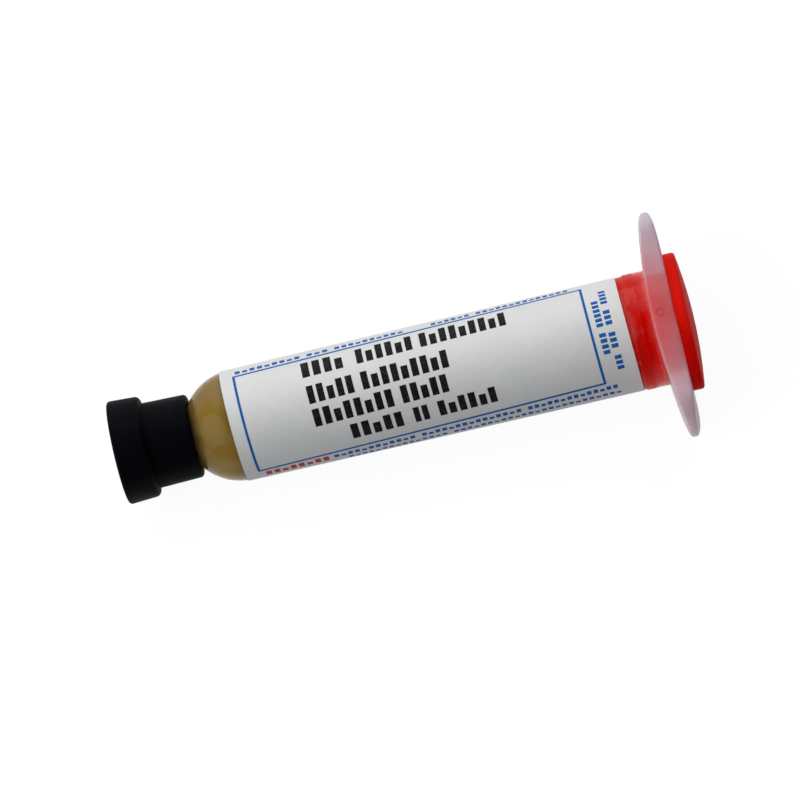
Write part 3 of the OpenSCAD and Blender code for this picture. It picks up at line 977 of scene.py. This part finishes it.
def label_print(bm, m):
    """Frame line, rows of blocks for words, and two upright columns of small blocks."""
    begin, end = 0.1, 0.8
    left, right, low, high = FRAME
    half = LINE / 2
    for y in (low, high):
        ink_field(bm, m, BLUE, left - half, right + half, y - half, y + half)
    for x in (left, right):
        ink_field(bm, m, BLUE, x - half, x + half, low, high)
    for ink, foot, top, *words in ROWS:
        for start, stop, count in words:
            ink_words(bm, m, ink, start, stop, foot, top, count)
    for start, stop, *words in COLUMNS:
        for foot, top, count in words:
            pitch = (top - foot) / count
            for i in range(count):
                ink_field(bm, m, BLUE, start, stop, foot + pitch * (i + begin),
                          foot + pitch * (i + end))


def label_with_print(bm, m):
    """The paper and the ink on it, as one piece."""
    paper_label(bm, m)
    label_print(bm, m)


class SYRINGE_OT_label(bpy.types.Operator):
    """Model the paper label and its print"""
    bl_idname = "syringe.label"
    bl_label = "Label"

    def execute(self, context):
        m = measures()
        label = make("label_sheet", label_with_print, m)
        inks = [finished(printing_ink, getattr(m, "ink_" + colour), m.bare,
                         name=colour + "_printing_ink") for colour in ("black", "blue", "red")]
        dress(label, "barrel", "label", finished(coated_paper, m), *inks)
        return {"FINISHED"}


# Studio, in metres

WHITE = (1.0, 1.0, 1.0, 1.0)
FLOOR_SIZE = 3.0
LIT = Vector((0, 0, 0.01))      # what the lamps point at
LAMPS = (                       # setting with the power, shape, width and height, place
    ("softbox", "RECTANGLE", (1.6, 1.2), (0.05, 0.8, 0.5)),
    ("tip_lamp", "DISK", (1.1, 1.1), (-0.8, -0.11, 0.55)),
)


def pale_painted_floor(tree, m):
    """Matt floor that looks white to the camera and in the plastic, and keeps the shadow."""
    shadow = 0.3
    path = add(tree, "ShaderNodeLightPath")
    mirrored = add(tree, "ShaderNodeMath", {
        0: path.outputs["Is Camera Ray"], 1: path.outputs["Is Glossy Ray"]}, operation="MAXIMUM")
    seen = add(tree, "ShaderNodeMath", {
        0: mirrored.outputs["Value"], 1: path.outputs["Is Transmission Ray"]},
        operation="MAXIMUM")
    plain = add(tree, "ShaderNodeBsdfDiffuse", {"Color": rgba(m.floor)})
    faint = add(tree, "ShaderNodeBsdfDiffuse", {"Color": rgba([shadow * c for c in m.floor])})
    glow = add(tree, "ShaderNodeEmission", {"Color": WHITE, "Strength": m.floor_glow})
    bright = add(tree, "ShaderNodeAddShader", {
        0: faint.outputs["BSDF"], 1: glow.outputs["Emission"]})
    return add(tree, "ShaderNodeMixShader", {
        0: seen.outputs["Value"], 1: plain.outputs["BSDF"], 2: bright.outputs["Shader"],
    }).outputs["Shader"]


def studio_world(m):
    """Even light from all round, a white background, and a dim ceiling in the gloss."""
    horizon, overhead, horizon_level, ceiling_level = 0.05, 0.3, 0.5, 0.08
    world = bpy.data.worlds.new("studio")
    bpy.context.scene.world = world
    world.use_nodes = True
    tree = world.node_tree
    tree.nodes.clear()
    path = add(tree, "ShaderNodeLightPath")
    towards = add(tree, "ShaderNodeTexCoord")
    height = add(tree, "ShaderNodeSeparateXYZ", {0: towards.outputs["Generated"]})
    ceiling = add(tree, "ShaderNodeMapRange", {
        "Value": height.outputs["Z"], "From Min": horizon, "From Max": overhead,
        "To Min": horizon_level - m.sky, "To Max": ceiling_level - m.sky},
        interpolation_type="SMOOTHSTEP")
    gloss = add(tree, "ShaderNodeMath", {
        0: path.outputs["Is Glossy Ray"], 1: ceiling.outputs["Result"]}, operation="MULTIPLY")
    direct = add(tree, "ShaderNodeMath", {
        0: path.outputs["Is Camera Ray"], 1: path.outputs["Is Transmission Ray"]},
        operation="MAXIMUM")
    seen = add(tree, "ShaderNodeMath", {
        0: direct.outputs["Value"], 1: 1.0 - m.sky, 2: gloss.outputs["Value"]},
        operation="MULTIPLY_ADD")
    level = add(tree, "ShaderNodeMath", {0: seen.outputs["Value"], 1: m.sky})
    colour = add(tree, "ShaderNodeMix", {
        "Factor": seen.outputs["Value"], "A": rgba(m.fill), "B": WHITE}, data_type="RGBA")
    sky = add(tree, "ShaderNodeBackground", {
        "Color": colour.outputs["Result"], "Strength": level.outputs["Value"]})
    add(tree, "ShaderNodeOutputWorld", {"Surface": sky.outputs["Background"]})


class SYRINGE_OT_studio(bpy.types.Operator):
    """Set up the floor, the light and the camera"""
    bl_idname = "syringe.studio"
    bl_label = "Studio"

    def execute(self, context):
        m = measures()
        scene = context.scene
        floor = make("floor", lambda bm: bmesh.ops.create_grid(
            bm, x_segments=1, y_segments=1, size=FLOOR_SIZE))
        floor.data.materials.append(finished(pale_painted_floor, m))
        studio_world(m)
        for name, shape, size, stand in LAMPS:
            lamp = bpy.data.lights.new(name, "AREA")
            lamp.shape = shape
            lamp.size, lamp.size_y = size
            lamp.energy = getattr(m, name)
            light = bpy.data.objects.new(name, lamp)
            light.location = stand
            light.rotation_euler = (LIT - Vector(stand)).to_track_quat("-Z", "Y").to_euler()
            scene.collection.objects.link(light)

        place = axis_frame()
        up, side, tip = place.to_3x3().transposed()
        rear = -tip
        towards = rear * sin(m.yaw) + (up * cos(m.lean) - side * sin(m.lean)) * cos(m.yaw)
        right0 = (rear - towards * rear.dot(towards)).normalized()
        up0 = towards.cross(right0)
        right = right0 * cos(m.roll) - up0 * sin(m.roll)
        above = right0 * sin(m.roll) + up0 * cos(m.roll)
        target = place @ Vector((0, 0, m.aim * MM))
        target += (right0 * m.aim_across + up0 * m.aim_up) * MM
        camera = bpy.data.cameras.new("camera")
        camera.lens = m.focal
        camera.clip_start, camera.clip_end = 0.01, 20
        view = bpy.data.objects.new("camera", camera)
        matrix = Matrix((right, above, towards)).transposed().to_4x4()
        matrix.translation = target + towards * m.distance * MM
        view.matrix_world = matrix
        scene.collection.objects.link(view)
        scene.camera = view
        scene.view_settings.view_transform = "Standard"
        return {"FINISHED"}


class SYRINGE_PT_panel(bpy.types.Panel):
    """The pieces of the syringe, in the order in which they are made"""
    bl_idname = "SYRINGE_PT_panel"
    bl_label = "Flux Syringe"
    bl_space_type = "VIEW_3D"
    bl_region_type = "UI"
    bl_category = "Syringe"

    def draw(self, context):
        for operator in OPERATORS:
            self.layout.operator(operator.bl_idname)


OPERATORS = (SYRINGE_OT_barrel, SYRINGE_OT_tip_cap, SYRINGE_OT_end_cap, SYRINGE_OT_piston,
             SYRINGE_OT_flux, SYRINGE_OT_label, SYRINGE_OT_studio)
CLASSES = (BarrelSettings, TipCapSettings, EndCapSettings, PistonSettings, LabelSettings,
           StudioSettings, SyringeSettings) + OPERATORS + (SYRINGE_PT_panel,)


def register():
    for cls in CLASSES:
        bpy.utils.register_class(cls)
    bpy.types.Scene.syringe = PointerProperty(type=SyringeSettings)


def unregister():
    del bpy.types.Scene.syringe
    for cls in reversed(CLASSES):
        bpy.utils.unregister_class(cls)


def main():
    """Makes everything in order."""
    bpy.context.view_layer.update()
    register()
    for operator in OPERATORS:
        getattr(bpy.ops.syringe, operator.bl_idname.split(".")[1])()
    bpy.context.view_layer.update()


if __name__ == "__main__":
    main()
